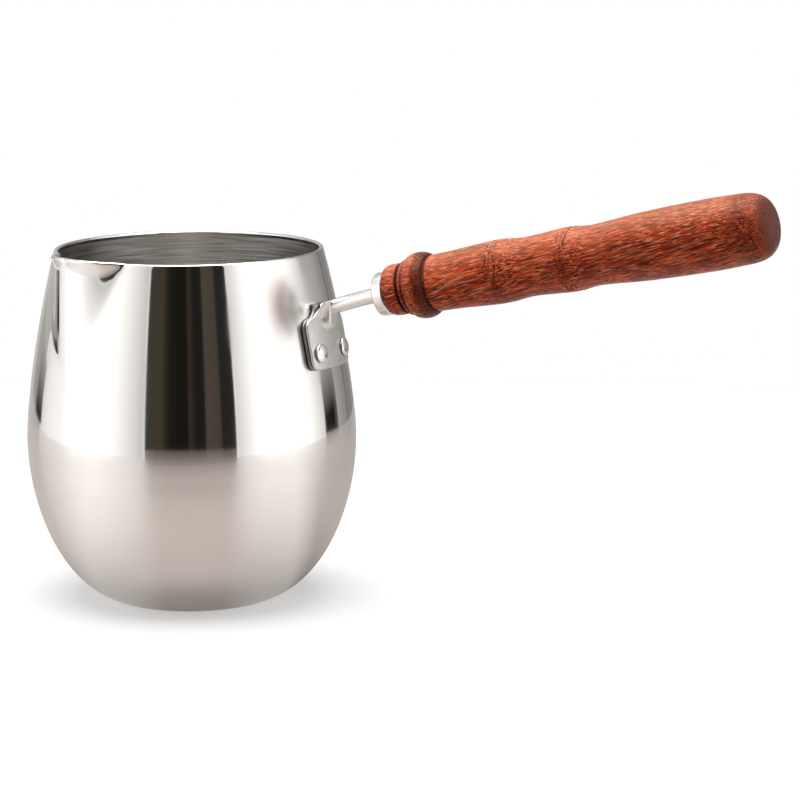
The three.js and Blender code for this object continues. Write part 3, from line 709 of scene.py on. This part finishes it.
cards = {  # turn from the camera's side, distance, height, strength, and shades from edge to edge
    "leftSoftbox": {"turn": (-125, -31.1), "distance": 430, "high": 430, "strength": 1.7, "shades": [
        (0, "#b4b2b0"), (0.03, "#c8c6c4"), (0.12, "#d6d4d2"), (0.28, "#e2e0de"), (0.4, "#ffffff"),
        (0.65, "#ffffff"), (0.79, "#e3e1df"), (0.94, "#bdbbb9"), (0.98, "#b0aeac"), (0.985, "#bfbdbb"),
        (1, "#bfbdbb")]},
    "rightSoftbox": {"turn": (28.8, 101.5), "distance": 430, "high": 430, "strength": 1.7, "shades": [
        (0, "#d6d4d2"), (0.012, "#d6d4d2"), (0.016, "#bfbdbb"), (0.3, "#ffffff"), (0.7, "#fbfaf9"),
        (1, "#b9b6b3")]},
    "darkRoom": {"turn": (-36, 34), "distance": 900, "high": 900, "strength": 1.25, "shades": [
        (0, "#33312e"), (0.1, "#3b3934"), (0.22, "#43392c"), (0.24, "#2f2d22"), (0.3, "#1d1b16"),
        (0.47, "#191511"), (0.49, "#3a2f27"), (0.56, "#1c1917"), (0.64, "#201d1a"), (0.65, "#4d443c"),
        (0.79, "#453e38"), (0.8, "#262522"), (1, "#22211f")]},
    "leftStand": {
        "turn": (-152, -124), "distance": 880, "low": -46, "high": 40, "fade": -30, "strength": 1, "shades": [
            (0, "#b0aeab"), (0.36, "#a29f9c"), (0.5, "#3a3735"), (0.79, "#2a2725"), (0.93, "#57534f"),
            (1, "#57534f")]},
    "rightStand": {"turn": (98, 121), "distance": 880, "high": 90, "fade": 0, "strength": 1, "shades": [
        (0, "#4a4644"), (0.3, "#2b2826"), (0.75, "#1a1715"), (1, "#6a6663")]},
    "lampPole": {"turn": (138.5, 140.5), "distance": 880, "high": 900, "strength": 1, "shades": [
        (0, "#6d6a68"), (1, "#6d6a68")]},
    "greyBackdrop": {"turn": (100, 230), "distance": 900, "high": 900, "strength": 1, "shades": [
        (0, "#c0bebb"), (0.16, "#b8b6b3"), (0.25, "#9c9a97"), (0.37, "#888683"), (0.5, "#a8a5a2"),
        (0.7, "#cfccc9"), (1, "#bfbcb9")]},
}


def cameraAzimuth():  # from the pot toward the camera
    return math.atan2(view["place"][1], view["place"][0])


def addStage(shape, name, material):
    bmesh.ops.scale(shape, vec=(mm, mm, mm), verts=shape.verts)
    mesh = bpy.data.meshes.new(name)
    shape.to_mesh(mesh)
    shape.free()
    mesh.materials.append(material)
    thing = bpy.data.objects.new(name, mesh)
    bpy.context.scene.collection.objects.link(thing)
    return thing


def buildCards():
    for name, card in cards.items():
        start, end = (math.radians(edge) for edge in card["turn"])
        middle = cameraAzimuth() + (start + end) / 2
        half = (end - start) / 2
        material, tree = startMaterial(name)
        place = addNode(tree, "ShaderNodeTexCoord").outputs["Object"]
        ahead = addNode(tree, "ShaderNodeMapping", {"Vector": place, "Rotation": (0, 0, -middle)}).outputs[0]
        spot = addNode(tree, "ShaderNodeSeparateXYZ", {"Vector": ahead}).outputs
        turned = addNode(tree, "ShaderNodeMath", {0: spot["Y"], 1: spot["X"]}, operation="ARCTAN2").outputs[0]
        share = addNode(tree, "ShaderNodeMapRange", {
            "Value": turned, "From Min": -half, "From Max": half}).outputs[0]
        shade = setRamp(addNode(tree, "ShaderNodeValToRGB", {"Fac": share}), card["shades"]).outputs[0]
        if "fade" in card:  # low things in front of the backdrop, soft at the top
            rise = addNode(tree, "ShaderNodeMapRange", {
                "Value": spot["Z"], "From Min": card["fade"] * mm, "From Max": card["high"] * mm}).outputs[0]
            shade = addNode(tree, "ShaderNodeMix", {
                0: rise, 6: shade, 7: linear(studio["hazeShade"])}, data_type="RGBA").outputs[2]
        glow = addNode(tree, "ShaderNodeEmission", {"Color": shade, "Strength": card["strength"]})
        addNode(tree, "ShaderNodeOutputMaterial", {"Surface": glow.outputs[0]})
        shape = bmesh.new()
        edge = Vector((math.cos(middle - half), math.sin(middle - half), 0)) * card["distance"]
        ends = (card.get("low", studio["low"]), card["high"])
        verts = [shape.verts.new(edge + Vector((0, 0, height))) for height in ends]
        line = verts + [shape.edges.new(verts)]
        bmesh.ops.spin(shape, geom=line, cent=(0, 0, 0), axis=(0, 0, 1), angle=2 * half, steps=24)
        addStage(shape, name, material).visible_camera = False


def buildTopLight():
    material, tree = startMaterial("topLight")
    glow = addNode(tree, "ShaderNodeEmission", {"Strength": studio["topStrength"]})
    addNode(tree, "ShaderNodeOutputMaterial", {"Surface": glow.outputs[0]})
    shape = bmesh.new()
    bmesh.ops.create_circle(shape, radius=studio["topRadius"], segments=48, cap_ends=True,
                            matrix=Matrix.Translation((0, 0, studio["topHeight"])))
    addStage(shape, "topLight", material).visible_camera = False


def buildFloor():
    material, tree = startMaterial("paleFloor")
    ray = addNode(tree, "ShaderNodeLightPath").outputs
    seen = addNode(tree, "ShaderNodeBsdfDiffuse", {"Color": linear(studio["floorShade"])}).outputs[0]
    white = addNode(tree, "ShaderNodeEmission", {"Strength": studio["floorWhite"]}).outputs[0]
    bright = addNode(tree, "ShaderNodeAddShader", {0: seen, 1: white}).outputs[0]
    place = addNode(tree, "ShaderNodeTexCoord").outputs["Object"]
    ahead = addNode(tree, "ShaderNodeMapping", {
        "Vector": place, "Rotation": (0, 0, -cameraAzimuth())}).outputs[0]
    spot = addNode(tree, "ShaderNodeSeparateXYZ", {"Vector": ahead}).outputs
    turned = addNode(tree, "ShaderNodeMath", {0: spot["Y"], 1: spot["X"]}, operation="ARCTAN2").outputs[0]
    share = addNode(tree, "ShaderNodeMapRange", {
        "Value": turned, "From Min": -math.pi, "From Max": math.pi}).outputs[0]
    away = addNode(tree, "ShaderNodeVectorMath", {0: place}, operation="LENGTH").outputs["Value"]
    far = addNode(tree, "ShaderNodeMapRange", {
        "Value": away, "From Min": studio["glowNear"] * mm, "From Max": studio["glowFar"] * mm}).outputs[0]
    under = addNode(tree, "ShaderNodeMapRange", {  # shade of the belly
        "Value": away, "From Min": studio["underFrom"] * mm, "From Max": studio["underTo"] * mm,
        "To Min": studio["underShade"], "To Max": 1}).outputs[0]
    lit = addNode(tree, "ShaderNodeMath", {
        0: ray["Is Glossy Ray"], 1: under}, operation="MULTIPLY").outputs[0]
    nearGlow = setRamp(addNode(tree, "ShaderNodeValToRGB", {"Fac": share}), studio["tableNear"]).outputs[0]
    farGlow = setRamp(addNode(tree, "ShaderNodeValToRGB", {"Fac": share}), studio["tableFar"]).outputs[0]
    glow = addNode(tree, "ShaderNodeMix", {0: far, 6: nearGlow, 7: farGlow}, data_type="RGBA").outputs[2]
    gloss = addNode(tree, "ShaderNodeBsdfPrincipled", {
        "Base Color": linear(studio["tableShade"]), "Roughness": 0.3, "Specular IOR Level": 0,
        "Coat Weight": 1, "Coat Roughness": 0.1, "Coat IOR": 1.45,
        "Emission Color": glow, "Emission Strength": lit}).outputs[0]
    mixed = addNode(tree, "ShaderNodeMixShader", {0: ray["Is Camera Ray"], 1: gloss, 2: bright}).outputs[0]
    addNode(tree, "ShaderNodeOutputMaterial", {"Surface": mixed})
    shape = bmesh.new()
    forward = studio["floorForward"]  # the table reaches further toward the camera
    middle = (forward * math.cos(cameraAzimuth()), forward * math.sin(cameraAzimuth()), -studio["floorDrop"])
    bmesh.ops.create_circle(shape, radius=studio["floorRadius"], segments=96, cap_ends=True,
                            matrix=Matrix.Translation(middle))
    addStage(shape, "floor", material)


def buildWorld():
    world = bpy.data.worlds.new("studio")
    world.use_nodes = True
    tree = world.node_tree
    tree.nodes.clear()
    ray = addNode(tree, "ShaderNodeLightPath").outputs
    mirror = addNode(tree, "ShaderNodeMath", {
        0: ray["Is Glossy Ray"], 1: ray["Is Transmission Ray"]}, operation="MAXIMUM")
    shown = addNode(tree, "ShaderNodeMath", {
        0: mirror.outputs[0], 1: ray["Is Camera Ray"]}, operation="MAXIMUM")
    strength = addNode(tree, "ShaderNodeMapRange", {
        "Value": shown.outputs[0], "To Min": studio["ambient"], "To Max": 1})
    sky = addNode(tree, "ShaderNodeBackground", {"Color": (1, 1, 1, 1), "Strength": strength.outputs[0]})
    addNode(tree, "ShaderNodeOutputWorld", {"Surface": sky.outputs[0]})
    bpy.context.scene.world = world


def buildCamera():
    data = bpy.data.cameras.new("photoView")
    data.lens = view["lens"]
    data.sensor_width = view["sensor"]
    data.clip_start = view["clipStart"] * mm
    camera = bpy.data.objects.new("photoView", data)
    bpy.context.scene.collection.objects.link(camera)
    aim = Vector(view["looks"]).to_track_quat("-Z", "Y").to_matrix().to_4x4()
    roll = Matrix.Rotation(math.radians(view["roll"]), 4, "Z")
    camera.matrix_world = Matrix.Translation(Vector(view["place"]) * mm) @ aim @ roll
    bpy.context.scene.camera = camera


buildCards()
buildTopLight()
buildFloor()
buildWorld()
buildCamera()
bpy.context.scene.view_settings.view_transform = "Standard"
print("studio done")
